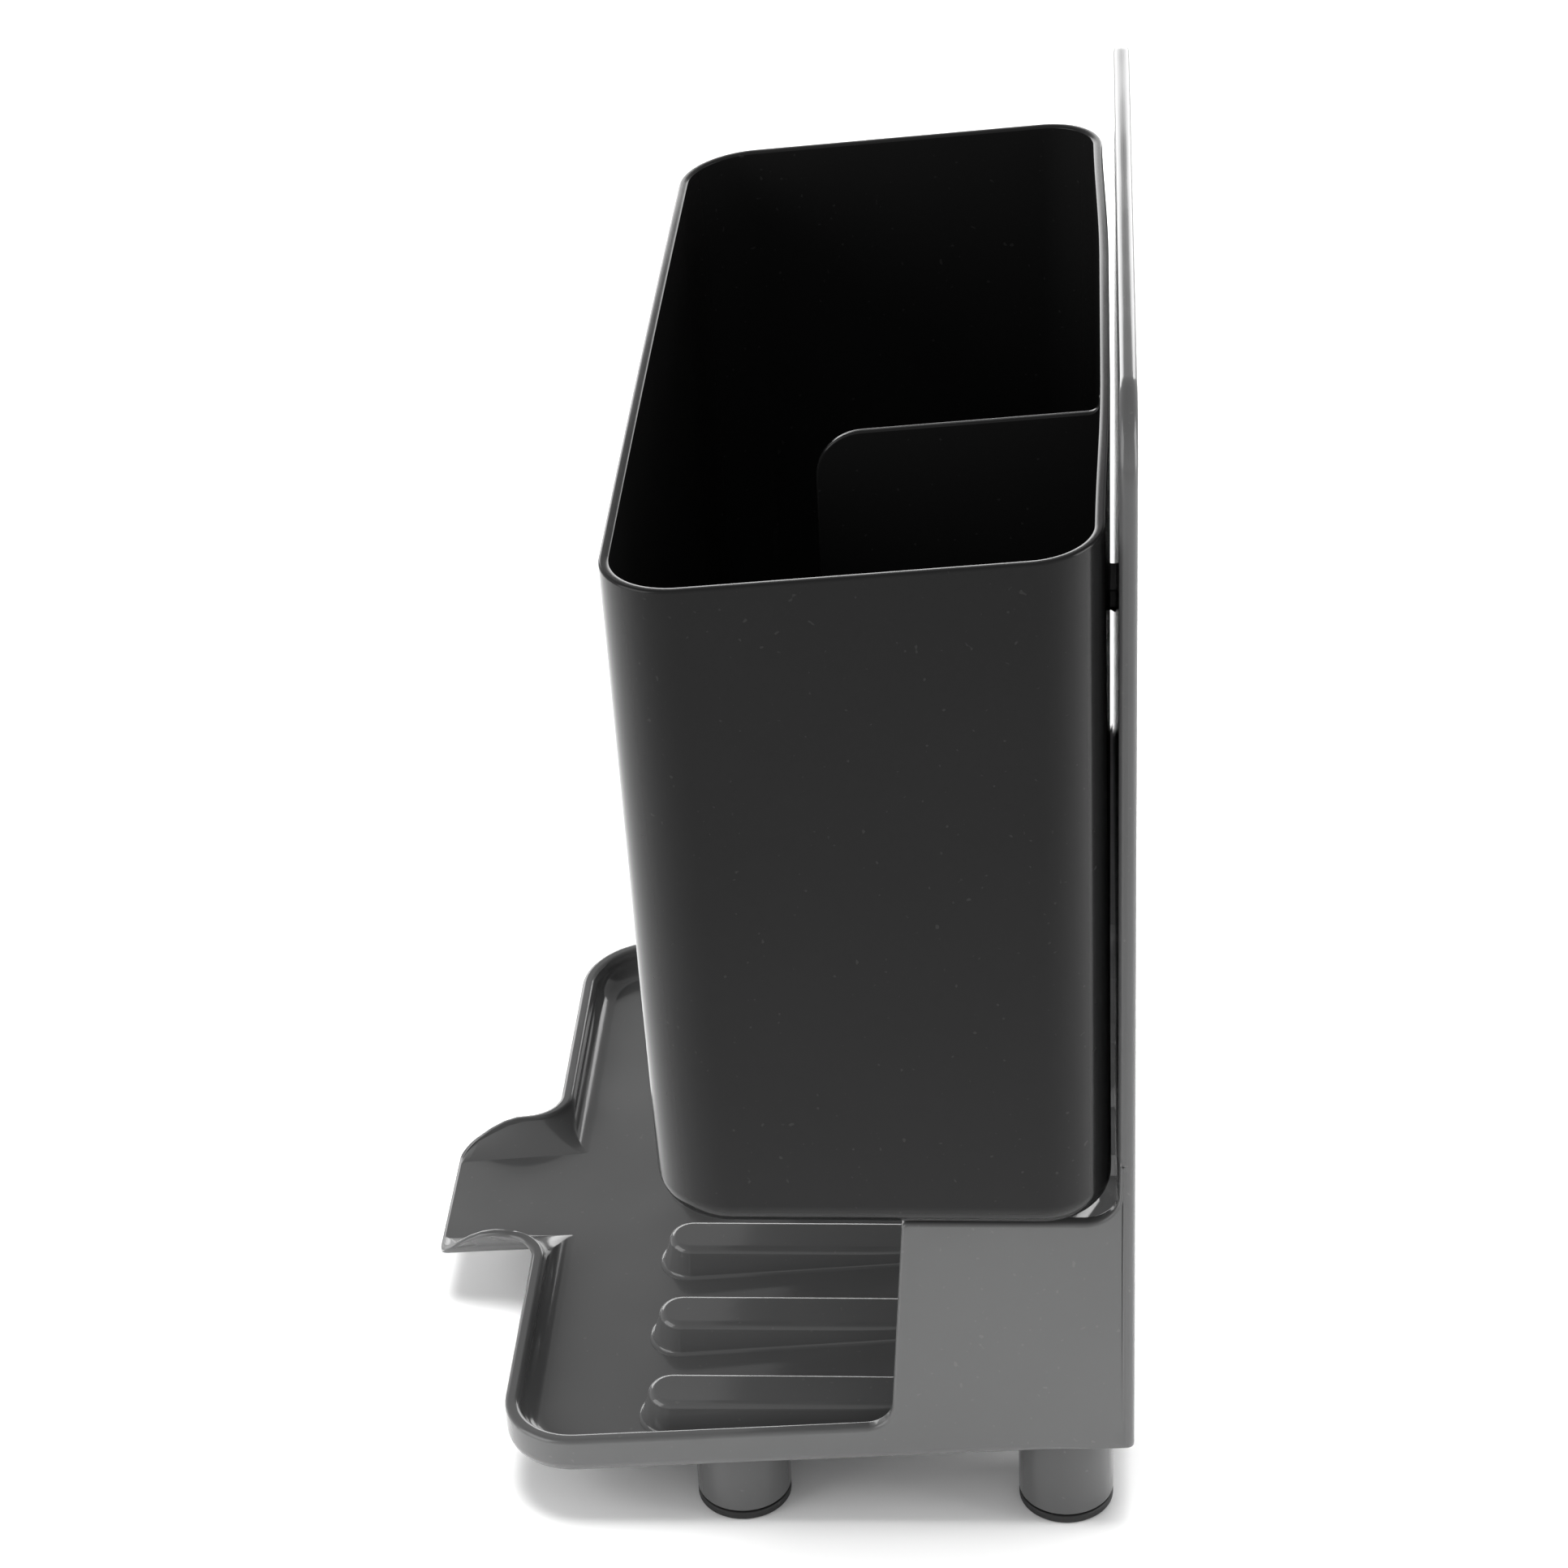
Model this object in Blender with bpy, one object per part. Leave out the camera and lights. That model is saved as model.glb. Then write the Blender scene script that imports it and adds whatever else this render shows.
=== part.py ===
"""Sink-side dish drying rack: a ribbed drip tray with a pouring spout, end cheeks and a tall
back panel in one moulding, a lift-off caddy hooked into the panel, and four push-in legs with
rubber pads. Metres, +Z up, length along X, spout towards -Y, origin under the middle."""

import math

import bmesh
import bpy
from mathutils import Vector

# Overall sizes
LENGTH = 0.190            # tray and back panel, end to end
TRAY_DEPTH = 0.1342       # front rim to the back of the panel
HEIGHT = 0.2625           # surface to the panel's top edge
SPOUT_REACH = 0.023       # spout lip in front of the rim
HOOK_PROUD = 0.0005       # hook tip behind the panel
HALF = LENGTH / 2
FRONT = SPOUT_REACH - (TRAY_DEPTH + SPOUT_REACH + HOOK_PROUD) / 2
BACK = FRONT + TRAY_DEPTH

# Clearances
GAP = 0.0003              # between pieces that rest on each other
SLOT_GAP = 0.0004         # round the hook in its slot
STEP = 0.00008            # between faces of one moulding that would otherwise coincide

# Tray: rim and underside both fall towards the spout, so that water runs there
FALL = 0.069
BASE_FRONT = 0.0135       # underside above the surface, at the front rim
RIM_FRONT = 0.0222        # rim above the surface, at the front
TRAY_WALL = 0.003
TRAY_FLOOR = 0.0022
TRAY_CORNER = 0.017
BACK_CORNER = 0.0012
TRAY_CAVITY_CORNER = 0.011

# Spout
SPOUT_HALF_MOUTH = 0.0165
SPOUT_HALF_ROOT = 0.0185
SPOUT_ROOT_ROUND = 0.015
SPOUT_MOUTH_ROUND = 0.004
SPOUT_LIP = 0.0003        # what is left of the side walls at the mouth

# Ribs: level tops, so that they stand taller towards the front
RIB_COUNT = 7
RIB_PITCH = LENGTH * 0.139
RIB_TOP = BASE_FRONT + TRAY_FLOOR + FALL * TRAY_DEPTH + 0.00014
RIB_HALF_TOP = 0.0042
RIB_HALF_BASE = 0.0064
RIB_NOSE = FRONT + 0.0283
RIB_NOSE_RAKE = 0.0046    # how far the nose leans back from base to top
RIB_WALL = 0.0022

# End cheeks
CHEEK_TOP = HEIGHT * 0.311
CHEEK_FOOT = FRONT + TRAY_DEPTH * 0.6237
CHEEK_LEAN = 0.0036       # the front edge leans back by this much
CHEEK_FOOT_ROUND = 0.006
CHEEK_BACK_ROUND = 0.007

# Back panel
PANEL_THICKNESS = 0.0035
PANEL_CORNER = 0.015
PANEL_FRONT = BACK - PANEL_THICKNESS
EDGE_ROUND = 0.0009

# Caddy
CADDY_BASE = CHEEK_TOP + GAP
CADDY_GAP = 0.0012        # behind the caddy, to the panel
CADDY_BACK = PANEL_FRONT - CADDY_GAP
CADDY_DEPTH = TRAY_DEPTH * 0.705    # at the rim, front to back
CADDY_RIM_FRONT = HEIGHT * 0.877
CADDY_RIM_BACK = HEIGHT * 0.9055
CADDY_OVERHANG = 0.0079   # the rim past each end of the tray
CADDY_DRAFT = 0.0189
CADDY_WALL = 0.002
CADDY_FLOOR = 0.0022
CADDY_FRONT_CORNER = 0.016
CADDY_BACK_CORNER = 0.013
CADDY_BASE_ROUND = 0.010
DIVIDER_X = LENGTH * 0.153
DIVIDER_WIDTH = CADDY_DEPTH * 0.592
DIVIDER_THICKNESS = 0.0016
DIVIDER_BELOW_RIM = 0.007
DIVIDER_ROUND = 0.010
DRAIN_COLUMNS = 9
DRAIN_ROWS = 3
DRAIN_LENGTH = 0.012
DRAIN_WIDTH = 0.0045

# Hook and its slot; the slot's lower edge and the hook slope at the lift-off angle
HOOK_WIDTH = 0.012
HOOK_BOTTOM = HEIGHT * 0.6613
HOOK_HEIGHT = 0.0044
HOOK_TIP = 0.0035         # the hook's tip below its neck
LIFT_ANGLE = math.radians(60)
HOOK_RISE = (PANEL_THICKNESS + HOOK_PROUD) * math.tan(LIFT_ANGLE)
SLOT_TOP = HOOK_BOTTOM + HOOK_HEIGHT + HOOK_RISE + SLOT_GAP

# Legs and pads
LEG_RADIUS = 0.010
LEG_X = HALF - 0.0124
LEG_FRONT_Y = FRONT + TRAY_DEPTH * 0.38
LEG_BACK_Y = FRONT + TRAY_DEPTH * 0.8934
SPIGOT_RADIUS = LEG_RADIUS * 0.7
SPIGOT_LENGTH = 0.0075
PAD_THICKNESS = 0.002
PLUG_RADIUS = LEG_RADIUS * 0.5
PLUG_LENGTH = 0.0035

ARC_STEPS = 6
ROUND_SIDES = 24

GREY = (0.155, 0.157, 0.160)
BLACK = (0.012, 0.012, 0.013)
RUBBER = (0.010, 0.010, 0.010)


def clear_scene():
    for obj in list(bpy.data.objects):
        bpy.data.objects.remove(obj, do_unlink=True)


def material(name, colour, roughness):
    made = bpy.data.materials.new(name)
    made.use_nodes = True
    shader = made.node_tree.nodes["Principled BSDF"]
    shader.inputs["Base Color"].default_value = (*colour, 1.0)
    shader.inputs["Roughness"].default_value = roughness
    shader.inputs["Metallic"].default_value = 0.0
    return made


def rounded(corners, steps=ARC_STEPS):
    """Counter-clockwise corners (x, y, radius) to [(point, outward normal)], corners as arcs."""
    outline = []
    count = len(corners)
    for i, (x, y, radius) in enumerate(corners):
        here = Vector((x, y))
        before = (here - Vector(corners[i - 1][:2])).normalized()
        after = (Vector(corners[(i + 1) % count][:2]) - here).normalized()
        turn = math.atan2(before.cross(after), before.dot(after))
        side = 1 if turn > 0 else -1
        start = here - before * radius * math.tan(abs(turn) / 2)
        centre = start + Vector((-before.y, before.x)) * radius * side
        first = Vector((before.y, -before.x)) * side
        for step in range(steps + 1):
            angle = turn * step / steps
            spoke = Vector((first.x * math.cos(angle) - first.y * math.sin(angle),
                            first.x * math.sin(angle) + first.y * math.cos(angle)))
            outline.append((centre + spoke * radius, spoke * side))
    return outline


def inset(outline, distance):
    """The outline moved inwards by a distance, which may be a number or a rule for it at y."""
    rule = distance if callable(distance) else lambda y: distance
    return [point - normal * rule(point.y) for point, normal in outline]


def circle(x, y, radius, sides=ROUND_SIDES):
    angles = [2 * math.pi * i / sides for i in range(sides)]
    return [Vector((x + radius * math.cos(a), y + radius * math.sin(a))) for a in angles]


def lift(loop, height):
    """A flat loop at a height, which may be a number or a rule for the height at y."""
    rule = height if callable(height) else lambda y: height
    return [Vector((p.x, p.y, rule(p.y))) for p in loop]


def add_loft(mesh, loops):
    """Adds a closed skin through loops of equal length, capped at both ends."""
    rings = [[mesh.verts.new(p) for p in loop] for loop in loops]
    count = len(rings[0])
    for low, high in zip(rings, rings[1:]):
        for i in range(count):
            j = (i + 1) % count
            mesh.faces.new((low[i], low[j], high[j], high[i]))
    mesh.faces.new(rings[0][::-1])
    mesh.faces.new(rings[-1])


def make_object(name, lofts, look=None):
    mesh = bmesh.new()
    for loops in lofts:
        add_loft(mesh, loops)
    bmesh.ops.recalc_face_normals(mesh, faces=mesh.faces)
    bmesh.ops.triangulate(mesh, faces=[f for f in mesh.faces if len(f.verts) > 4])
    data = bpy.data.meshes.new(name)
    mesh.to_mesh(data)
    mesh.free()
    obj = bpy.data.objects.new(name, data)
    bpy.context.scene.collection.objects.link(obj)
    if look:
        data.materials.append(look)
        data.shade_smooth()
        data.set_sharp_from_angle(angle=math.radians(35))
    return obj


def combine(target, operation, name, lofts):
    """Adds or cuts the given closed shapes, held by a hidden helper object."""
    helper = make_object(name, lofts)
    helper.hide_render = True
    helper.display_type = "WIRE"
    modifier = target.modifiers.new(name, "BOOLEAN")
    modifier.operation = operation
    modifier.solver = "EXACT"
    modifier.object = helper


def plate(outline, place, low, high, edge=EDGE_ROUND):
    """A plate between two faces with rounded edges; place(u, v, depth) gives each point."""
    profile = [(edge, 0.0), (edge * 0.3, edge * 0.3), (0.0, edge)]
    depths = [(cut, low + deep) for cut, deep in profile]
    depths += [(cut, high - deep) for cut, deep in reversed(profile)]
    return [[place(p.x, p.y, depth) for p in inset(outline, cut)] for cut, depth in depths]


def tray_base(y):
    return BASE_FRONT + FALL * (y - FRONT)


def tray_floor(y):
    return tray_base(y) + TRAY_FLOOR


def tray_rim(y):
    level = RIM_FRONT + FALL * (y - FRONT)
    if y >= FRONT:
        return level
    along = min(1.0, (FRONT - y) / SPOUT_REACH)
    ease = along * along * (3 - 2 * along)
    lip = tray_floor(FRONT - SPOUT_REACH) + SPOUT_LIP
    return RIM_FRONT + (lip - RIM_FRONT) * ease


def tray_outline(reach, mouth_round, back_round):
    half = [
        (SPOUT_HALF_MOUTH, FRONT - reach, mouth_round),
        (SPOUT_HALF_ROOT, FRONT, SPOUT_ROOT_ROUND),
        (HALF - 2 * STEP, FRONT, TRAY_CORNER),
        (HALF - 2 * STEP, BACK - STEP, back_round),
    ]
    return rounded(half + [(-x, y, r) for x, y, r in reversed(half)])


def tray_shell():
    """The tray before it is hollowed. Its lower edge is rounder in front than at the panel."""
    outline = tray_outline(SPOUT_REACH, SPOUT_MOUTH_ROUND, BACK_CORNER)
    steps = [(0.0030, 0.0), (0.0016, 0.08), (0.0005, 0.25), (0.0, 0.5), (0.0, 0.93), (0.0006, 1.0)]
    loops = []
    for cut, up in steps:
        flat = inset(outline, lambda y: min(cut, 0.001 + 0.1 * (BACK - y)))
        loops.append(lift(flat, lambda y: tray_base(y) * (1 - up) + tray_rim(y) * up))
    return loops


def tray_cavity():
    """What is scooped out of the tray. It runs out through the spout's mouth."""
    outline = tray_outline(SPOUT_REACH * 1.3, TRAY_CAVITY_CORNER * 0.7, TRAY_CAVITY_CORNER)
    loops = [
        lift(inset(outline, TRAY_WALL * 0.7), lambda y: tray_rim(y) + 0.006),
        lift(inset(outline, TRAY_WALL * 0.8), lambda y: tray_rim(y) + 0.0003),
    ]
    for cut, up in [(0.0, 0.9), (0.0004, 0.5), (0.0015, 0.2), (0.003, 0.05), (0.0046, 0.0)]:
        flat = inset(outline, TRAY_WALL + cut)
        loops.append(lift(flat, lambda y: tray_floor(y) * (1 - up) + tray_rim(y) * up))
    return loops[::-1]


def rib_outline(x, half_width, nose, back):
    return rounded([
        (x - half_width, back, half_width * 0.1),
        (x - half_width, nose, half_width * 0.98),
        (x + half_width, nose, half_width * 0.98),
        (x + half_width, back, half_width * 0.1),
    ], 4)


def rib(x, shrink, base, top, back):
    """One rib from its footing up to its level top; a rib that is shrunk makes its own hollow."""
    steps = [(0.0, 0.0, 0.0), (0.72, 0.68, 0.78), (0.84, 0.84, 0.94), (1.0, 1.0, 1.0)]
    loops = []
    for narrow, rake, up in steps:
        half_width = RIB_HALF_BASE + (RIB_HALF_TOP - RIB_HALF_BASE) * narrow - shrink
        nose = RIB_NOSE + RIB_NOSE_RAKE * rake + shrink
        flat = [p for p, _ in rib_outline(x, half_width, nose, back)]
        loops.append(lift(flat, lambda y: base(y) * (1 - up) + top * up))
    return loops


def rib_places():
    return [(i - (RIB_COUNT - 1) / 2) * RIB_PITCH for i in range(RIB_COUNT)]


def ribs():
    back = PANEL_FRONT + PANEL_THICKNESS / 2
    return [rib(x, 0.0, lambda y: tray_floor(y) - 0.0005, RIB_TOP, back) for x in rib_places()]


def rib_hollows():
    """Pockets under the ribs that keep the moulding's wall even."""
    roof = RIB_TOP - TRAY_FLOOR
    back = FRONT + TRAY_DEPTH * 0.805
    return [rib(x, RIB_WALL, lambda y: tray_base(y) - 0.001, roof, back) for x in rib_places()]


def cheek_outline():
    """The cheek from the side, as (y, z)."""
    foot = FRONT + TRAY_DEPTH * 0.52
    buried = PANEL_FRONT + PANEL_THICKNESS / 2
    low = 0.0045
    return rounded([
        (foot, tray_base(foot) + low, 0.001),
        (buried, tray_base(buried) + low, 0.001),
        (buried, CHEEK_TOP + 0.016, 0.0005),
        (PANEL_FRONT + 0.0003, CHEEK_TOP + 0.0145, 0.0005),
        (PANEL_FRONT + 0.0003, CHEEK_TOP, CHEEK_BACK_ROUND),
        (CHEEK_FOOT + CHEEK_LEAN, CHEEK_TOP, 0.0015),
        (CHEEK_FOOT, tray_rim(CHEEK_FOOT), CHEEK_FOOT_ROUND),
        (foot, tray_rim(foot) - 0.0004, 0.001),
    ])


def cheeks():
    outline = cheek_outline()
    plates = []
    for side in (-1, 1):
        low, high = sorted((side * (HALF - STEP), side * (HALF - TRAY_WALL - 4 * STEP)))
        plates.append(plate(outline, lambda u, v, x: Vector((x, u, v)), low, high, 0.0004))
    return plates


def panel():
    base = tray_base(BACK) + 0.0045
    outline = rounded([
        (-HALF, base, 0.0011),
        (HALF, base, 0.0011),
        (HALF, HEIGHT, PANEL_CORNER),
        (-HALF, HEIGHT, PANEL_CORNER),
    ], 8)
    return [plate(outline, lambda u, v, y: Vector((u, y, v)), PANEL_FRONT, BACK)]


def leg_places():
    for end, y in (("front", LEG_FRONT_Y), ("back", LEG_BACK_Y)):
        for side, x in (("left", -LEG_X), ("right", LEG_X)):
            yield f"{end}_{side}", x, y


def spigots():
    """Round bosses under the tray that the legs push on to."""
    made = []
    for _, x, y in leg_places():
        foot = tray_base(y) - SPIGOT_LENGTH
        root = tray_base(y) + TRAY_FLOOR / 2
        ring = circle(x, y, SPIGOT_RADIUS, 24)
        tip = circle(x, y, SPIGOT_RADIUS - 0.0005, 24)
        made.append([lift(tip, foot), lift(ring, foot + 0.0005), lift(ring, root)])
    return made


def hook_slope(height):
    """How far back a point of the lift-off slope lies when it is this far below the neck."""
    return height / math.tan(LIFT_ANGLE)


def prism(half_width, side_view):
    """A solid of the given (y, z) side view, half_width each way from the middle."""
    return [[Vector((side * half_width, y, z)) for y, z in side_view] for side in (-1, 1)]


def hook_slot():
    reach = 0.001
    drop = SLOT_GAP / math.cos(LIFT_ANGLE)
    neck = HOOK_BOTTOM - drop
    view = [
        (PANEL_FRONT - reach, neck + reach * math.tan(LIFT_ANGLE)),
        (BACK + reach, neck - (PANEL_THICKNESS + reach) * math.tan(LIFT_ANGLE)),
        (BACK + reach, SLOT_TOP),
        (PANEL_FRONT - reach, SLOT_TOP),
    ]
    return [prism(HOOK_WIDTH / 2 + SLOT_GAP, view)]


def hook():
    """The hook on the caddy's back: a neck through the panel and a tip that drops behind it."""
    tip = HOOK_BOTTOM - HOOK_TIP
    behind = BACK + HOOK_PROUD
    view = [
        (CADDY_BACK - CADDY_WALL / 2, HOOK_BOTTOM),
        (PANEL_FRONT, HOOK_BOTTOM),
        (PANEL_FRONT + hook_slope(HOOK_TIP), tip),
        (behind, tip),
        (behind, HOOK_BOTTOM + HOOK_HEIGHT - 0.0015),
        (behind - 0.001, HOOK_BOTTOM + HOOK_HEIGHT - 0.0005),
        (CADDY_BACK - CADDY_WALL / 2, HOOK_BOTTOM + HOOK_HEIGHT),
    ]
    return [prism(HOOK_WIDTH / 2, view)]


def make_frame(look):
    body = make_object("frame_body", [tray_shell()], look)
    combine(body, "DIFFERENCE", "tray_cavity", [tray_cavity()])
    combine(body, "UNION", "ribs", ribs())
    combine(body, "DIFFERENCE", "rib_hollows", rib_hollows())
    combine(body, "UNION", "spigots", spigots())
    combine(body, "UNION", "panel", panel())
    combine(body, "UNION", "cheeks", cheeks())
    combine(body, "DIFFERENCE", "hook_slot", hook_slot())
    return body


def caddy_rim(y):
    front = CADDY_BACK - CADDY_DEPTH
    return CADDY_RIM_FRONT + (CADDY_RIM_BACK - CADDY_RIM_FRONT) * (y - front) / CADDY_DEPTH


def caddy_outline(height, cut):
    """The caddy's plan at a height: it narrows downwards, but its back stays upright."""
    narrow = CADDY_DRAFT * (CADDY_RIM_FRONT - height)
    half = HALF + CADDY_OVERHANG - narrow - cut
    front = CADDY_BACK - CADDY_DEPTH + narrow + cut
    back = CADDY_BACK - cut
    return [p for p, _ in rounded([
        (-half, front, CADDY_FRONT_CORNER - cut),
        (half, front, CADDY_FRONT_CORNER - cut),
        (half, back, CADDY_BACK_CORNER - cut),
        (-half, back, CADDY_BACK_CORNER - cut),
    ])]


def caddy_bowl(base, cut, round_radius):
    """Loops up a rounded lower edge and the wall above it, from the flat floor outwards."""
    loops = []
    steps = 5
    for step in range(steps + 1):
        angle = math.pi / 2 * step / steps
        height = base + round_radius * (1 - math.cos(angle))
        edge = cut + round_radius * (1 - math.sin(angle))
        loops.append(lift(caddy_outline(height, edge), height))
    return loops


def caddy_skin():
    """One skin: up the outside, over the rounded rim and down the inside."""
    outer = caddy_bowl(CADDY_BASE, 0.0, CADDY_BASE_ROUND)
    inner = caddy_bowl(CADDY_BASE + CADDY_FLOOR, CADDY_WALL, CADDY_BASE_ROUND - CADDY_WALL)
    brim = [(0.0, 0.0006), (0.0002, 0.0002), (0.0006, 0.0), (CADDY_WALL - 0.0004, 0.0),
            (CADDY_WALL, 0.0005)]
    rim = [lift(caddy_outline(CADDY_RIM_FRONT, cut), lambda y: caddy_rim(y) - low)
           for cut, low in brim]
    return outer + rim + inner[::-1]


def divider():
    """A fin from the caddy's back wall, with its top parallel to the rim."""
    back = CADDY_BACK - CADDY_WALL / 2
    front = CADDY_BACK - CADDY_WALL - DIVIDER_WIDTH
    floor = CADDY_BASE + CADDY_FLOOR / 2
    outline = rounded([
        (front, floor, 0.0008),
        (back, floor, 0.0005),
        (back, caddy_rim(back) - DIVIDER_BELOW_RIM, 0.0005),
        (front, caddy_rim(front) - DIVIDER_BELOW_RIM, DIVIDER_ROUND),
    ])
    half = DIVIDER_THICKNESS / 2
    low, high = DIVIDER_X - half, DIVIDER_X + half
    return [plate(outline, lambda u, v, x: Vector((x, u, v)), low, high, 0.0003)]


def drain_slots():
    """Round-ended slots through the caddy's floor, clear of the divider."""
    half_span = HALF - 0.016
    middle = CADDY_BACK - CADDY_DEPTH / 2
    cuts = []
    for column in range(DRAIN_COLUMNS):
        x = half_span * (2 * column / (DRAIN_COLUMNS - 1) - 1)
        if abs(x - DIVIDER_X) < DRAIN_WIDTH:
            continue
        for row in range(DRAIN_ROWS):
            y = middle + (row - (DRAIN_ROWS - 1) / 2) * DRAIN_LENGTH * 1.7
            w, h = DRAIN_WIDTH / 2, DRAIN_LENGTH / 2
            corner = w * 0.98
            outline = [p for p, _ in rounded([(x - w, y - h, corner), (x + w, y - h, corner),
                                              (x + w, y + h, corner), (x - w, y + h, corner)], 3)]
            cuts.append([lift(outline, CADDY_BASE - 0.002),
                         lift(outline, CADDY_BASE + CADDY_FLOOR + 0.002)])
    return cuts


def make_caddy(look):
    caddy = make_object("caddy", [caddy_skin()], look)
    combine(caddy, "UNION", "divider", divider())
    combine(caddy, "DIFFERENCE", "drain_slots", drain_slots())
    combine(caddy, "UNION", "hook", hook())
    return caddy


def make_leg(name, x, y, look):
    """A leg as one skin: plug hole, underside, side, sloping top and spigot socket."""
    sole = PAD_THICKNESS + GAP
    hole_top = PAD_THICKNESS + PLUG_LENGTH + 0.0005
    socket = tray_base(y) - SPIGOT_LENGTH - GAP
    shoulder = 0.0003
    loops = [
        lift(circle(x, y, PLUG_RADIUS + GAP), hole_top),
        lift(circle(x, y, PLUG_RADIUS + GAP), sole),
        lift(circle(x, y, LEG_RADIUS - shoulder), sole),
        lift(circle(x, y, LEG_RADIUS), sole + shoulder),
        lift(circle(x, y, LEG_RADIUS), lambda v: tray_base(v) - GAP),
        lift(circle(x, y, SPIGOT_RADIUS + GAP), lambda v: tray_base(v) - GAP),
        lift(circle(x, y, SPIGOT_RADIUS + GAP), socket),
    ]
    return make_object(name, [loops], look)


def make_pad(name, x, y, look):
    """A rubber pad with a plug that holds it in the leg."""
    bead = 0.0004
    loops = [
        lift(circle(x, y, LEG_RADIUS - 2 * bead), 0.0),
        lift(circle(x, y, LEG_RADIUS), 2 * bead),
        lift(circle(x, y, LEG_RADIUS), PAD_THICKNESS - bead),
        lift(circle(x, y, LEG_RADIUS - bead), PAD_THICKNESS),
        lift(circle(x, y, PLUG_RADIUS), PAD_THICKNESS),
        lift(circle(x, y, PLUG_RADIUS), PAD_THICKNESS + PLUG_LENGTH),
    ]
    return make_object(name, [loops], look)


def build():
    clear_scene()
    grey = material("grey_moulding", GREY, 0.38)
    black = material("black_moulding", BLACK, 0.36)
    rubber = material("rubber", RUBBER, 0.75)
    make_frame(grey)
    make_caddy(black)
    for name, x, y in leg_places():
        make_leg(f"leg_{name}", x, y, grey)
        make_pad(f"foot_pad_{name}", x, y, rubber)


build()
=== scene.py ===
"""Looks of the sink-side dish drying rack: the grey moulding with its tray, ribs, spout, cheeks and
panel, the black lift-off caddy, and the four legs with their rubber pads."""

import math

import bmesh
import bpy
import numpy as np
from mathutils import Matrix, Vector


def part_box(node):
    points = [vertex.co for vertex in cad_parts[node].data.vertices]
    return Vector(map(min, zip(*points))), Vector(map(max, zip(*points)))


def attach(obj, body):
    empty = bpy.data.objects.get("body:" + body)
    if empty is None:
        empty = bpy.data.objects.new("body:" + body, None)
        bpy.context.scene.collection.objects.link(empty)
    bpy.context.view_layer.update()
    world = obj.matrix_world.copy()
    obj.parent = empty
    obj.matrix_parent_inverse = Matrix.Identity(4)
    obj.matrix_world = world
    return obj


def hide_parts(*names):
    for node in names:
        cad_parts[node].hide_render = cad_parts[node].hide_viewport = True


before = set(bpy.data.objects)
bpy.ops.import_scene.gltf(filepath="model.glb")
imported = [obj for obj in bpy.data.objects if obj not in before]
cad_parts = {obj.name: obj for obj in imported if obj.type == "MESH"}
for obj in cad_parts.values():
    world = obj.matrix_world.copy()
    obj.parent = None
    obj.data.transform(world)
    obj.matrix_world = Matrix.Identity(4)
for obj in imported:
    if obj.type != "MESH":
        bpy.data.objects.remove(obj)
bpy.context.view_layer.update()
body_low, body_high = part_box("frame_body")
caddy_low, caddy_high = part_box("caddy")
leg_low, leg_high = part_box("leg_front_right")
leg_back_low, leg_back_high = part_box("leg_back_right")

# Sizes read from the frame, in metres
HALF = body_high.x
BACK = body_high.y
HEIGHT = body_high.z
SPOUT_REACH = 0.023
MOUTH = body_low.y
FRONT = MOUTH + SPOUT_REACH
LEG_RADIUS = (leg_high.x - leg_low.x) / 2
LEG_X = (leg_high.x + leg_low.x) / 2
LEG_FRONT_Y = (leg_high.y + leg_low.y) / 2
LEG_BACK_Y = (leg_back_high.y + leg_back_low.y) / 2

# Legs and pads
AROUND = 72               # points round a leg, pad or boss
GAP = 0.0003              # between a leg and the tray, its boss or its pad
SPIGOT_RADIUS = 0.007
PLUG_RADIUS = 0.005
PAD_THICKNESS = 0.002

# The moulding
STEP = 0.000015           # between faces that would otherwise lie in one plane
FALL = 0.069
BASE_FRONT = 0.0135
RIM_FRONT = 0.0222
TRAY_WALL = 0.003
TRAY_FLOOR = 0.0022
TRAY_CORNER = 0.017
UNDER_ROUND = 0.0026
RIM_ROUND = 0.0010
FULL_WALL = 0.0065        # rim above underside from which the rounds have their full size
WALL_FOOT = 0.0003        # how far the wall leans in from the rim's edge to the cove
COVE = 0.0048             # radius between the tray's wall and floor
SPOUT_RISE = 0.0145       # from the mouth back to where the spout's sides reach full height
SPOUT_WALL = 0.0013
MOUTH_ROUND = 0.0045      # corner radii in plan, at the rim and at the floor
MOUTH_FOOT_ROUND = 0.0015
ROOT_ROUND = 0.008
ROOT_FOOT_ROUND = 0.0008
FLARE = (0.0203, 0.0241)  # half widths outside the spout's rim, at its mouth and root
CHANNEL = (0.0145, 0.0155)    # half widths of the spout's floor, at its mouth and root
KEEL = (0.0184, 0.0186)   # half widths of the spout's underside, at its mouth and root
RIB_COUNT = 7
RIB_PITCH = 2 * HALF * 0.139
RIB_TOP = 0.0251
RIB_FLAT = 0.0038         # half width of a rib's level top
RIB_SHOULDER = 0.0018
RIB_TOE = 0.0010
RIB_WALL = 0.0022
RIB_HOLLOW_BACK = FRONT + 0.108
RIB_LEAN = 0.32           # sideways over up, on a rib's side
RIB_FULL = 0.0042         # rib height from which its radii have their full size
NOSE_STEEPER = 0.08       # how much less the nose leans than the sides
RIB_NOSE = FRONT + 0.0326
PANEL_THICKNESS = 0.0035
PANEL_FRONT = BACK - PANEL_THICKNESS
PANEL_CORNER = 0.015
EDGE_ROUND = 0.0009
PANEL_EDGE_ROUND = 0.0014
PARTING_LINE = 0.00004    # how far the mould's parting line stands proud of the panel's edge
CHEEK_TOP = 0.0816
CHEEK_FOOT = FRONT + 0.0837
CHEEK_LEAN = 0.0036

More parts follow.
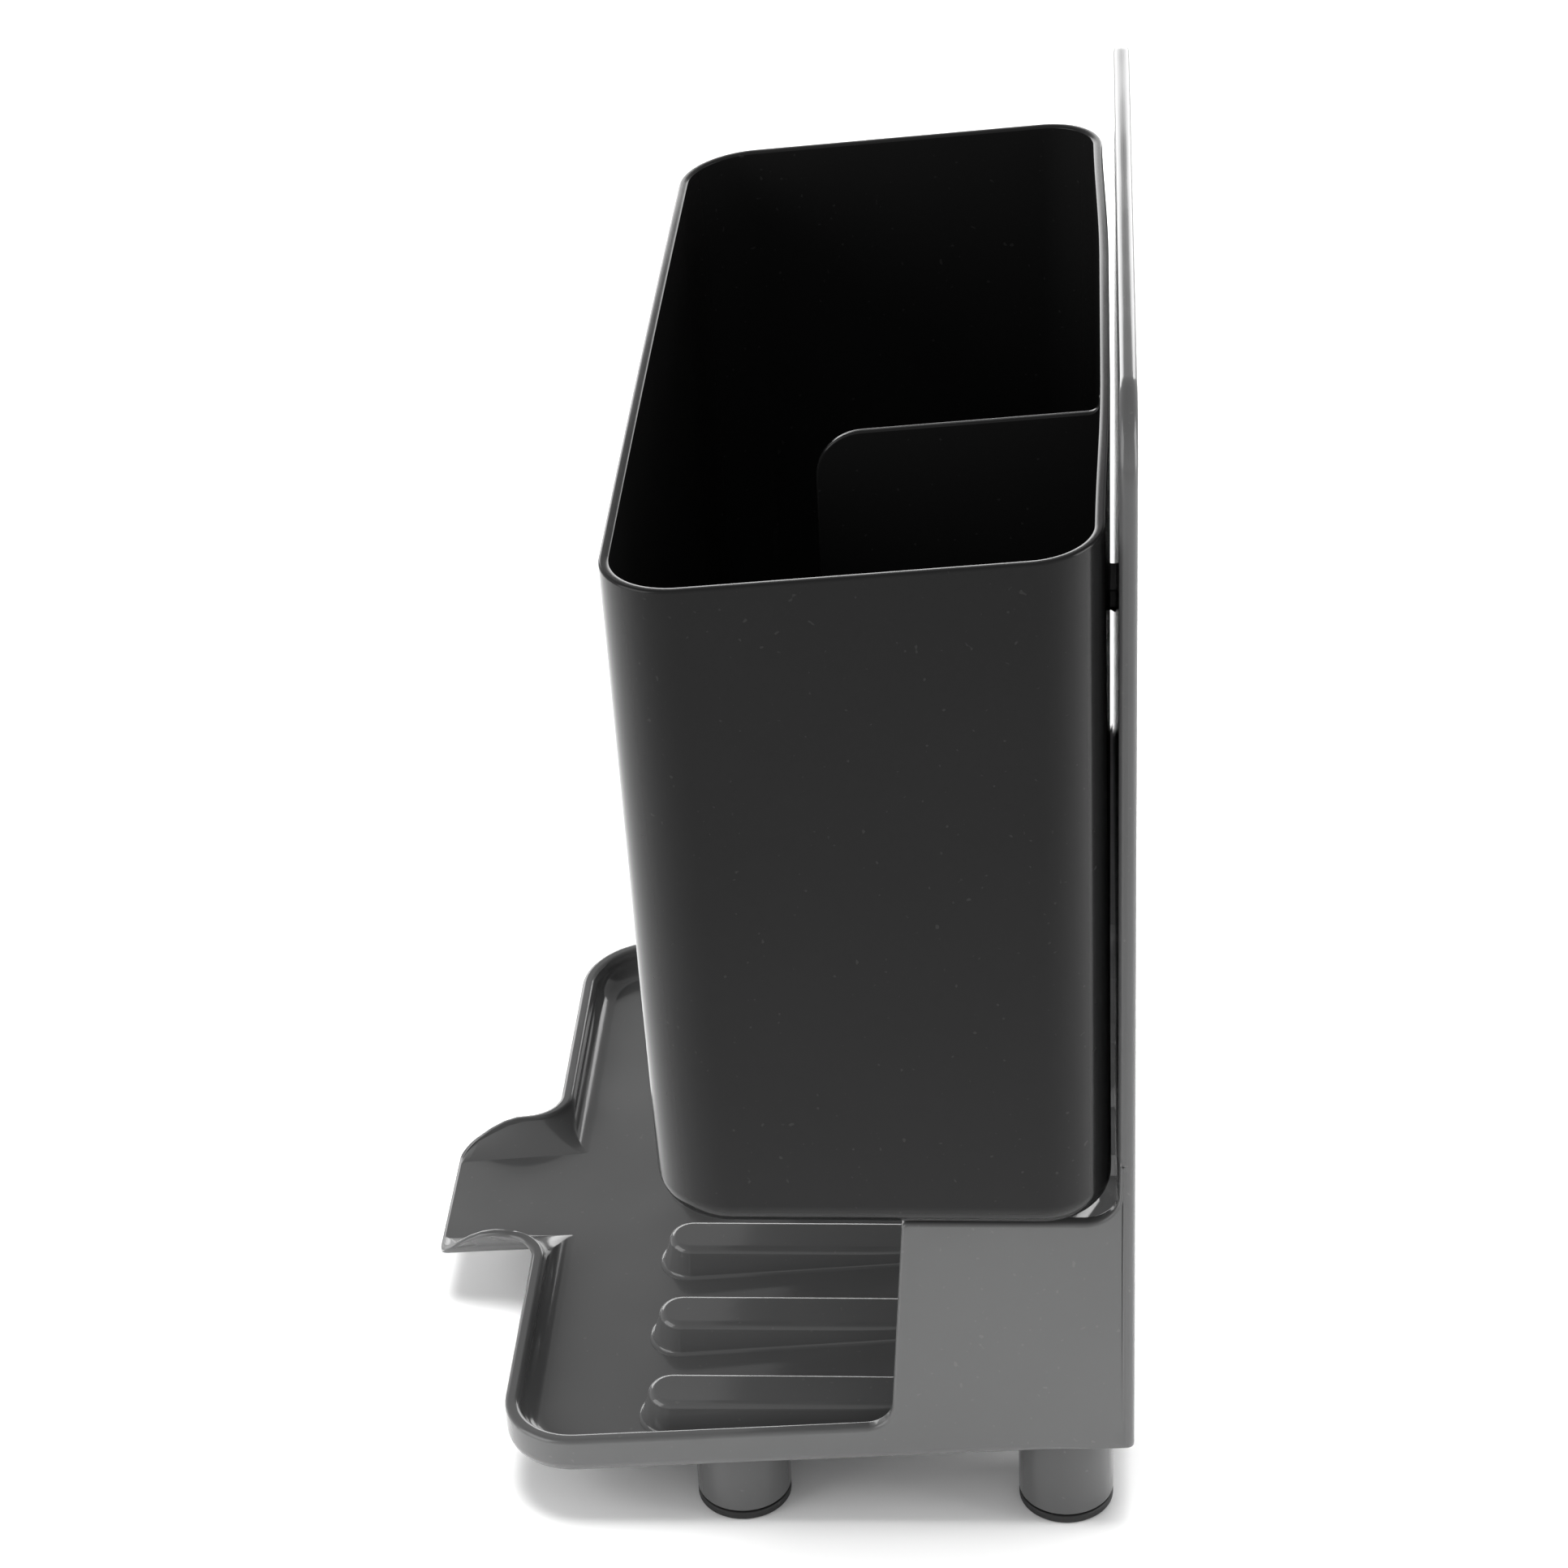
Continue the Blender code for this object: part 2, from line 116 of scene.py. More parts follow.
# The caddy
CADDY_BASE = caddy_low.z + 0.0008
CADDY_BACK = PANEL_FRONT - 0.0012
CADDY_DEPTH = 0.0946
CADDY_RIM_FRONT = 0.2302
CADDY_RIM_BACK = caddy_high.z
CADDY_HALF = caddy_high.x
CADDY_DRAFT = 0.0189
CADDY_WALL = 0.002
CADDY_FLOOR = 0.0022
CADDY_BASE_ROUND = 0.0072
FRONT_CORNER = 0.016
BACK_CORNER = 0.014
END_DRAW = 0.0012         # how far the back wall draws in towards each end, at the rim
FRONT_BOW = 0.0003        # how far the front wall bellies out at the rim
DIVIDER_X = 2 * HALF * 0.153
DIVIDER_WIDTH = 0.056
DIVIDER_BELOW_RIM = 0.007
DIVIDER_HALF = 0.0008     # half its thickness
DRAIN_COLUMNS = 9
DRAIN_WIDTH = 0.0045
DRAIN_LENGTH = 0.012
DRAIN_PITCH = 0.0204      # front to back
HOOK_WIDTH = 0.012
HOOK_BOTTOM = HEIGHT * 0.6613
HOOK_HEIGHT = 0.0044
HOOK_TIP = 0.0035
HOOK_BEHIND = caddy_high.y
LIFT_ANGLE = math.radians(60)
SLOT_TOP = HOOK_BOTTOM + HOOK_HEIGHT + (HOOK_BEHIND - PANEL_FRONT) * math.tan(LIFT_ANGLE) + 0.0004


def ease(t):
    """Zero to one with level ends: three t squared less two t cubed."""
    t = np.clip(t, 0.0, 1.0)
    return t * t * (3 - 2 * t)


def arc(count):
    """Angles evenly through a quarter turn."""
    return np.linspace(0.0, math.pi / 2, count)


# Outlines: points and outward normals, counter-clockwise

def rounded(corners, steps=14, runs=4):
    """Corners (x, y, radius) joined by straight runs. Each corner is centre plus radius times a unit
    spoke that turns evenly through the corner's angle; each straight run is cut into equal parts."""
    count = len(corners)
    spots = np.array([c[:2] for c in corners], float)
    parts = [runs] * count if isinstance(runs, int) else runs
    arcs = []
    for i, (*_, radius) in enumerate(corners):
        before = spots[i] - spots[i - 1]
        after = spots[(i + 1) % count] - spots[i]
        before /= np.hypot(*before)
        after /= np.hypot(*after)
        turn = math.atan2(before[0] * after[1] - before[1] * after[0], before @ after)
        side = math.copysign(1.0, turn)
        centre = spots[i] - before * radius * math.tan(abs(turn) / 2)
        centre = centre + np.array([-before[1], before[0]]) * radius * side
        angle = math.atan2(-before[0] * side, before[1] * side) + np.linspace(0, turn, steps + 1)
        spokes = np.stack([np.cos(angle), np.sin(angle)], 1)
        arcs.append((centre + spokes * radius, spokes * side))
    points, normals = [], []
    for i, (bend, facing) in enumerate(arcs):
        start, end = bend[-1], arcs[(i + 1) % count][0][0]
        share = (np.arange(1, parts[i]) / parts[i])[:, None]
        points += [bend, start + (end - start) * share]
        normals += [facing, np.repeat(facing[-1:], len(share), 0)]
    return np.concatenate(points), np.concatenate(normals)


def circle(x, y, radius):
    """Points evenly round a centre: centre plus radius times cosine and sine."""
    angle = np.linspace(0, 2 * math.pi, AROUND, endpoint=False)
    return np.stack([x + radius * np.cos(angle), y + radius * np.sin(angle)], 1)


# Meshes

def skin(name, rows):
    """A closed surface through rows of points: quads between neighbouring rows, a cap at each end."""
    rows = np.asarray(rows, float)
    depth, count, _ = rows.shape
    index = np.arange(depth * count).reshape(depth, count)
    beside = np.roll(index, -1, 1)
    quads = np.stack([index[:-1], beside[:-1], beside[1:], index[1:]], -1).reshape(-1, 4)
    caps = [index[0][::-1].tolist(), index[-1].tolist()]
    mesh = bpy.data.meshes.new(name)
    mesh.from_pydata(rows.reshape(-1, 3), [], quads.tolist() + caps)
    obj = bpy.data.objects.new(name, mesh)
    bpy.context.scene.collection.objects.link(obj)
    return obj


def gathered(name, parts):
    """Several separate closed shapes as one object."""
    mesh = bmesh.new()
    for part in parts:
        mesh.from_mesh(part.data)
        bpy.data.objects.remove(part)
    data = bpy.data.meshes.new(name)
    mesh.to_mesh(data)
    mesh.free()
    obj = bpy.data.objects.new(name, data)
    bpy.context.scene.collection.objects.link(obj)
    return obj


def outward(obj):
    """Turns every face of a closed shape outwards."""
    mesh = bmesh.new()
    mesh.from_mesh(obj.data)
    bmesh.ops.recalc_face_normals(mesh, faces=mesh.faces)
    mesh.to_mesh(obj.data)
    mesh.free()
    return obj


def combined(obj, steps):
    """Adds tools to the object, or cuts them from it, in turn, and leaves one plain mesh."""
    for operation, tool in steps:
        outward(tool)
        modifier = obj.modifiers.new(tool.name, "BOOLEAN")
        modifier.operation = operation
        modifier.solver = "EXACT"
        modifier.object = tool
    graph = bpy.context.evaluated_depsgraph_get()
    mesh = bpy.data.meshes.new_from_object(obj.evaluated_get(graph))
    obj.modifiers.clear()
    obj.data = mesh
    for _, tool in steps:
        bpy.data.objects.remove(tool)
    return obj


def finished(obj, look, body, slot, *nodes):
    """Merges doubles, shades by angle, and hands the piece to its body and finish."""
    mesh = bmesh.new()
    mesh.from_mesh(obj.data)
    bmesh.ops.remove_doubles(mesh, verts=mesh.verts, dist=0.000002)
    mesh.to_mesh(obj.data)
    mesh.free()
    obj.data.materials.clear()
    obj.data.materials.append(look)
    obj.data.shade_smooth()
    obj.data.set_sharp_from_angle(angle=math.radians(32))
    weighted = obj.modifiers.new("even_shading", "WEIGHTED_NORMAL")
    weighted.keep_sharp = True
    weighted.weight = 70
    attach(obj, body)
    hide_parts(*nodes)
    return obj


def plate(name, outline, normals, axis, low, high, edge, line=0.0):
    """A flat plate from low to high along an axis. Each long edge is a quarter round: the inset is
    edge times one less the sine, at a depth of edge times one less the cosine. A line above zero
    leaves a raised parting line of that height round the middle of the edge."""
    turn = arc(6)
    inset = edge * (1 - np.sin(turn))
    depth = edge * (1 - np.cos(turn))
    insets, depths = [inset], [low + depth]
    if line:
        middle = (low + high) / 2
        insets.append(np.array([0, -line, -line, 0]))
        depths.append(middle + np.array([-0.00022, -0.0001, 0.0001, 0.00022]))
    insets = np.concatenate(insets + [inset[::-1]])
    depths = np.concatenate(depths + [high - depth[::-1]])
    flat = outline[None] - normals[None] * insets[:, None, None]
    level = np.broadcast_to(depths[:, None, None], flat.shape[:2] + (1,))
    first, second = flat[..., :1], flat[..., 1:]
    rows = {"x": (level, first, second), "y": (first, level, second)}[axis]
    return outward(skin(name, np.concatenate(rows, -1)))


# The grey moulding

def tray_base(y):
    """The underside: a straight fall towards the front."""
    return BASE_FRONT + FALL * (y - FRONT)


def tray_floor(y):
    """The floor: the underside plus the floor's thickness."""
    return tray_base(y) + TRAY_FLOOR


def tray_rim(y):
    """The rim falls with the tray. Towards the spout's mouth it drops to the floor as a sine."""
    share = np.sin(np.clip((y - MOUTH) / SPOUT_RISE, 0, 1) * math.pi / 2)
    level = RIM_FRONT + FALL * (np.maximum(y, FRONT) - FRONT)
    return tray_floor(MOUTH) + (level - tray_floor(MOUTH)) * share


def tray_outline(inset, foot=0.0, channel=CHANNEL):
    """The tray's plan moved inwards, with its back edge inside the panel. The foot share runs from 0
    at the rim, where the spout's sides flare out in an S, to 1 at the floor and the underside,
    where they are a straight channel with sharp corners; between, corners and radii are mixed."""
    wall = min(inset, SPOUT_WALL)
    outer = inset < TRAY_WALL / 2
    back = BACK - STEP if outer else PANEL_FRONT + PANEL_THICKNESS / 2
    mouth, root = np.array(FLARE) - wall
    mouth += (channel[0] - mouth) * foot
    root += (channel[1] - root) * foot
    mouth_round = MOUTH_ROUND + (MOUTH_FOOT_ROUND - MOUTH_ROUND) * foot
    root_round = (ROOT_ROUND + wall) * (1 - foot) + ROOT_FOOT_ROUND * foot
    half = [(mouth, MOUTH + min(inset, 0.0006) + 0.02 * inset, mouth_round),
            (root, FRONT + inset, root_round),
            (HALF - 2 * STEP - inset, FRONT + inset, TRAY_CORNER - inset),
            (HALF - 2 * STEP - inset, back, PANEL_EDGE_ROUND + 0.0002 if outer else 0.0004)]
    corners = half + [(-x, y, r) for x, y, r in half[::-1]]
    return rounded(corners, 16, (4, 22, 36, 2, 36, 22, 4, 6))[0]


def tray_skin():
    """One profile carried round the tray: up the rounded underside, up the outside in straight
    lines, over the rim, down the wall and through the cove to the floor. A round is its radius
    times one less the sine or cosine. The rim takes its height from the outermost row, so that the
    mouth of the spout stays level across. In the spout the cove gives way to a slanted side, whose
    height and foot share both go by the sine."""
    y = tray_outline(0.0)[:, 1]
    base, rim = tray_base(y), tray_rim(y)
    drop = rim - tray_floor(y)
    wall = np.clip((rim - base) / FULL_WALL, 0, 1)
    low = np.clip(1 - drop / 0.003, 0, 1)
    lip = RIM_ROUND * wall
    spout = np.clip((FRONT - 0.0003 - y) / 0.005, 0, 1)
    rows = []

    def add(inset, height, foot=0.0):
        flat = tray_outline(inset, foot)
        rise = (tray_floor(flat[:, 1]) - tray_floor(y)) * low * (inset < TRAY_WALL + 0.0001)
        rows.append(np.column_stack([flat, height + rise]))

    under = UNDER_ROUND * wall * np.clip((BACK - y) / 0.02, 0.3, 1)
    for a in arc(8):
        inset = UNDER_ROUND * 0.7 * (1 - math.sin(a))
        flat = tray_outline(inset, 1.0, np.array(KEEL) - inset)
        rows.append(np.column_stack([flat, tray_base(flat[:, 1]) + under * (1 - math.cos(a))]))
    keel = rows[-1]
    brow = np.column_stack([tray_outline(0.0), rim - lip])
    rows += [keel + (brow - keel) * share for share in (0.25, 0.5, 0.75)]
    for a in arc(6):
        add(RIM_ROUND * (1 - math.cos(a)), rim - lip * (1 - math.sin(a)))
    edge = np.minimum(lip, drop * 0.2)
    for a in arc(6)[::-1]:
        add(TRAY_WALL - RIM_ROUND * (1 - math.cos(a)), rim - edge * (1 - math.sin(a)))
    cove = np.minimum(COVE, drop * 0.75)
    reach = cove + (drop * 0.98 - edge - cove) * spout
    for a in arc(12):
        inset = TRAY_WALL + WALL_FOOT + COVE * (1 - math.cos(a))
        floor = tray_floor(tray_outline(inset, math.sin(a))[:, 1])
        add(inset, floor + reach * (1 - math.sin(a)), math.sin(a))
    return skin("frame_moulding", rows)


def rib(x, shrink, base, top, back):
    """A rib: its level top, a round shoulder, a leaning side and a toe that flares into the floor.
    Rows are the top's outline moved outwards; the radii shrink with the rib's height."""
    flat = RIB_FLAT - shrink * 0.2
    nose = RIB_NOSE + shrink
    outline, normals = rounded([(x - flat, back, 0.0002), (x - flat, nose, flat * 0.98),
                                (x + flat, nose, flat * 0.98), (x + flat, back, 0.0002)], 10, 12)
    y = outline[:, 1]
    height = np.maximum(top - base(y), 0.0002)
    scale = np.clip(height / RIB_FULL, 0.05, 1)
    shoulder, toe = RIB_SHOULDER * scale, RIB_TOE * scale
    lean = RIB_LEAN * np.maximum(height - shoulder - toe, 0)
    rows = [(shoulder + lean + toe + 0.00005, base(y) - 0.0002)]
    rows += [(shoulder + lean + toe * (1 - math.sin(a)), base(y) + toe * (1 - math.cos(a)))
             for a in arc(7)]
    rows += [(shoulder * math.cos(a), top - shoulder * (1 - math.sin(a))) for a in arc(8)]
    front = 1.0 - NOSE_STEEPER * np.clip(-normals[:, 1], 0, 1)
    return skin("rib", [np.column_stack([outline + normals * ((out - shrink) * front)[:, None],
                                         level + 0 * y]) for out, level in rows])


def rib_places():
    """The middle of each rib, one pitch apart and even about the middle of the rack."""
    return (np.arange(RIB_COUNT) - (RIB_COUNT - 1) / 2) * RIB_PITCH


def ribs():
    """The ribs on the tray's floor, running back into the panel."""
    back = PANEL_FRONT + PANEL_THICKNESS / 2
    return gathered("ribs", [rib(x, 0.0, tray_floor, RIB_TOP, back) for x in rib_places()])


def rib_hollows():
    """The hollow under each rib: the same shape from below, smaller by the rib's wall."""
    roof = RIB_TOP - TRAY_FLOOR
    made = [rib(x, RIB_WALL, lambda y: tray_base(y) - 0.0005, roof, RIB_HOLLOW_BACK)
            for x in rib_places()]
    return gathered("rib_hollows", made)


def cheeks():
    """The two end cheeks: a side view with round corners, as a plate over each end wall of the
    tray. The foot sinks into the wall and the back runs into the panel."""
    foot = FRONT + 0.060
    sunk = 0.0045
    buried = PANEL_FRONT + PANEL_THICKNESS / 2
    outline, normals = rounded([
        (foot, tray_base(foot) + sunk, 0.001),
        (buried, tray_base(buried) + sunk, 0.001),
        (buried, CHEEK_TOP + 0.016, 0.0006),
        (PANEL_FRONT + 0.0002, CHEEK_TOP + 0.0145, 0.0006),
        (PANEL_FRONT + 0.0002, CHEEK_TOP, 0.007),
        (CHEEK_FOOT + CHEEK_LEAN, CHEEK_TOP, 0.0016),
        (CHEEK_FOOT, float(tray_rim(CHEEK_FOOT)), 0.0062),
        (foot, float(tray_rim(foot)) - 0.0001, 0.001),
    ], 12, 8)
    made = []
    for side in (-1, 1):
        low, high = sorted((side * (HALF - STEP), side * (HALF - TRAY_WALL - 4 * STEP)))
        made.append(plate("cheek", outline, normals, "x", low, high, EDGE_ROUND))
    return gathered("cheeks", made)


def panel():
    """The back panel: a plate with two round top corners, drawn in by its raised parting line."""
    base = tray_base(BACK) + 0.0002
    end, top = HALF - PARTING_LINE, HEIGHT - PARTING_LINE
    outline, normals = rounded([(-end, base, 0.0012), (end, base, 0.0012),
                                (end, top, PANEL_CORNER), (-end, top, PANEL_CORNER)], 28, 12)
    return plate("panel", outline, normals, "y", PANEL_FRONT, BACK, PANEL_EDGE_ROUND, PARTING_LINE)


def legs():
    """Name and place of each leg."""
    for end, y in (("front", LEG_FRONT_Y), ("back", LEG_BACK_Y)):
        for side, x in (("left", -LEG_X), ("right", LEG_X)):
            yield f"{end}_{side}", x, y


def spigots():
    """The round boss under the tray that each leg is pushed onto, with a chamfered end."""
    made = []
    for _, x, y in legs():
        foot = tray_base(y) - 0.0075
        rows = [(SPIGOT_RADIUS - 0.0005, foot), (SPIGOT_RADIUS, foot + 0.0005),
                (SPIGOT_RADIUS, tray_base(y) + 0.001)]
        made.append(skin("spigot", [np.column_stack([circle(x, y, r), np.full(AROUND, z)])
                                    for r, z in rows]))
    return gathered("spigots", made)


def across(name, view, half_width, edge):
    """The (y, z) side view carried across the middle of the rack, with rounded edges."""
    outline, normals = rounded(view, 6, 2)
    return plate(name, outline, normals, "x", -half_width, half_width, edge)


def hook_slot():
    """A slot whose lower edge slopes back and down at the lift-off angle."""
    slope = math.tan(LIFT_ANGLE)
    neck = HOOK_BOTTOM - 0.0008
    reach = 0.001
    view = [(PANEL_FRONT - reach, neck + reach * slope, 0.0001),
            (BACK + reach, neck - (PANEL_THICKNESS + reach) * slope, 0.0001),
            (BACK + reach, SLOT_TOP, 0.0001), (PANEL_FRONT - reach, SLOT_TOP, 0.0001)]
    return across("hook_slot", view, HOOK_WIDTH / 2 + 0.0004, 0.00005)


def make_moulding(look):
    tray = outward(tray_skin())
    combined(tray, [("UNION", ribs()), ("DIFFERENCE", rib_hollows()), ("UNION", spigots()),
                    ("UNION", panel()), ("UNION", cheeks()), ("DIFFERENCE", hook_slot())])
    return finished(tray, look, "rack", "grey_moulding", "frame_body")


# The caddy

def caddy_rim(y):
    """The rim's height: a straight rise from front to back."""
    share = (y - (CADDY_BACK - CADDY_DEPTH)) / CADDY_DEPTH
    return CADDY_RIM_FRONT + (CADDY_RIM_BACK - CADDY_RIM_FRONT) * share


def caddy_outline(height, inset):
    """The caddy's plan at a height, moved inwards. It narrows downwards while its back stays
    upright. The back wall draws in towards its ends and the front wall bellies out a little, both
    in step with the height above the floor."""
    narrow = CADDY_DRAFT * (CADDY_RIM_FRONT - height)
    half = CADDY_HALF - narrow - inset
    front = CADDY_BACK - CADDY_DEPTH + narrow + inset
    back = CADDY_BACK - inset
    outline, _ = rounded([(-half, front, FRONT_CORNER - inset), (half, front, FRONT_CORNER - inset),
                          (half, back, BACK_CORNER - inset), (-half, back, BACK_CORNER - inset)], 20,
                         (24, 14, 24, 14))
    x, y = outline.T
    share = np.clip((y - front) / (back - front), 0, 1)
    raised = np.clip((height - CADDY_BASE) / 0.15, 0, 1)
    drawn = END_DRAW * ease((np.abs(x) - 0.03) / 0.065) * share ** 4
    belly = FRONT_BOW * np.clip(1 - (x / (half * 0.92)) ** 2, 0, 1) * (1 - share) ** 4
    return np.column_stack([x, y - (drawn + belly) * raised])


def caddy_skin():
    """Rows up the rounded lower edge and the outer wall, over the flat rim and its rounded edges,
    and down the inside."""
    rows = []

    def add(height, inset, level=None):
        outline = caddy_outline(height, inset)
        top = np.full(len(outline), height) if level is None else level(outline[:, 1])
        rows.append(np.column_stack([outline, top]))

    def bowl(base, inset, radius, order):
        for a in arc(12)[::order]:
            add(base + radius * (1 - math.cos(a)), inset + radius * (1 - math.sin(a)))

    def rim_edge(inset, width, fall, order):
        for a in arc(8)[::order]:
            inward = inset + order * width * (1 - math.cos(a))
            add(CADDY_RIM_FRONT, inward, lambda y: caddy_rim(y) - fall * (1 - math.sin(a)))

    walls = np.linspace(CADDY_BASE + 0.02, CADDY_RIM_FRONT - 0.006, 6)
    bowl(CADDY_BASE, 0.0, CADDY_BASE_ROUND, 1)
    for height in walls:
        add(height, 0.0)
    rim_edge(0.0, 0.0006, 0.0006, 1)
    rim_edge(CADDY_WALL, 0.0011, 0.0005, -1)
    for height in walls[::-1]:
        add(height, CADDY_WALL)
    bowl(CADDY_BASE + CADDY_FLOOR, CADDY_WALL, CADDY_BASE_ROUND - CADDY_WALL, -1)
    return skin("caddy_moulding", rows)


def divider():
    """The fin, its top parallel to the rim, with a small round where it runs into the back wall."""
    back = CADDY_BACK - CADDY_WALL / 2
    face = CADDY_BACK - CADDY_WALL
    front = face - DIVIDER_WIDTH
    floor = CADDY_BASE + CADDY_FLOOR / 2
    outline, normals = rounded([
        (front, floor, 0.0004), (back, floor, 0.0004),
        (back, caddy_rim(back) - DIVIDER_BELOW_RIM + 0.0035, 0.0003),
        (face - 0.0002, caddy_rim(face) - DIVIDER_BELOW_RIM + 0.0031, 0.0003),
        (face - 0.0002, caddy_rim(face) - DIVIDER_BELOW_RIM, 0.0022),
        (front, caddy_rim(front) - DIVIDER_BELOW_RIM, 0.010),
    ], 12, 4)
    low, high = DIVIDER_X - DIVIDER_HALF, DIVIDER_X + DIVIDER_HALF
    return plate("divider", outline, normals, "x", low, high, 0.0005)


def drain_slots():
    """Round-ended slots through the floor, with a small countersink at the top."""
    half_span = HALF - 0.016
    middle = CADDY_BACK - CADDY_DEPTH / 2
    top = CADDY_BASE + CADDY_FLOOR
    w, h, bend = DRAIN_WIDTH / 2, DRAIN_LENGTH / 2, 0.0022
    rows = [(0.0, CADDY_BASE - 0.001), (0.0, top - 0.0005), (0.0006, top + 0.0001),
            (0.0006, top + 0.001)]
    made = []
    for x in np.linspace(-half_span, half_span, DRAIN_COLUMNS):
        if abs(x - DIVIDER_X) < DRAIN_WIDTH:
            continue
        for y in middle + np.array([-1, 0, 1]) * DRAIN_PITCH:
            outline, normals = rounded([(x - w, y - h, bend), (x + w, y - h, bend),
                                        (x + w, y + h, bend), (x - w, y + h, bend)], 6, 1)
            made.append(skin("drain", [np.column_stack([outline + normals * out,
                                                        np.full(len(outline), z)])
                                       for out, z in rows]))
    return gathered("drains", made)


def hook():
    """The neck through the panel and the tip that drops behind it."""
    neck = CADDY_BACK - CADDY_WALL / 2
    tip = HOOK_BOTTOM - HOOK_TIP
    slope = HOOK_TIP / math.tan(LIFT_ANGLE)
    top = HOOK_BOTTOM + HOOK_HEIGHT
    view = [(neck, HOOK_BOTTOM, 0.0001), (PANEL_FRONT, HOOK_BOTTOM, 0.0003),
            (PANEL_FRONT + slope, tip, 0.0001), (HOOK_BEHIND, tip, 0.0002),
            (HOOK_BEHIND, top - 0.0006, 0.0007), (neck, top, 0.0001)]
    return across("hook", view, HOOK_WIDTH / 2, 0.00035)


def make_caddy(look):
    caddy = outward(caddy_skin())
    combined(caddy, [("UNION", divider()), ("DIFFERENCE", drain_slots()), ("UNION", hook())])
    return finished(caddy, look, "lift_off_caddy", "black_moulding", "caddy")


# Legs and pads

def turned(name, x, y, profile):
    """A profile of (radius, height) turned about an upright axis; a height may be a rule of y."""
    rows = []
    for radius, height in profile:
        ring = circle(x, y, radius)
        level = height(ring[:, 1]) if callable(height) else np.full(len(ring), height)
        rows.append(np.column_stack([ring, level]))
    return outward(skin(name, rows))


def make_leg(name, x, y, look):
    """A leg from the socket of its pad's plug, round its lower edge and up to the sloping tray,
    then down the socket of its boss."""
    sole, edge = PAD_THICKNESS + GAP, 0.0006
    plug_socket, boss_socket = PLUG_RADIUS + GAP, SPIGOT_RADIUS + GAP
    profile = [(plug_socket, 0.006), (plug_socket, sole)]
    profile += [(LEG_RADIUS - edge * (1 - math.sin(a)), sole + edge * (1 - math.cos(a)))
                for a in arc(6)]
    profile += [(LEG_RADIUS, lambda v: tray_base(v) - GAP),
                (boss_socket, lambda v: tray_base(v) - GAP), (boss_socket, tray_base(y) - 0.0078)]
    leg = turned(f"leg_{name}_turned", x, y, profile)
    return finished(leg, look, "rack", "grey_moulding", f"leg_{name}")


def make_pad(name, x, y, look):
    """A disc with a large lower and a small upper quarter round, and the plug on top of it."""
    top, low, high = PAD_THICKNESS, 0.0007, 0.0004
    profile = [(LEG_RADIUS - 0.0012, 0.0)]
    profile += [(LEG_RADIUS - low * (1 - math.sin(a)), low * (1 - math.cos(a))) for a in arc(6)]
    profile += [(LEG_RADIUS - high * (1 - math.cos(a)), top - high * (1 - math.sin(a)))
                for a in arc(6)]
    profile += [(PLUG_RADIUS, top), (PLUG_RADIUS, top + 0.0035)]
    pad = turned(f"pad_{name}_turned", x, y, profile)
    return finished(pad, look, "rack", "pad_rubber", f"foot_pad_{name}")


# Finishes

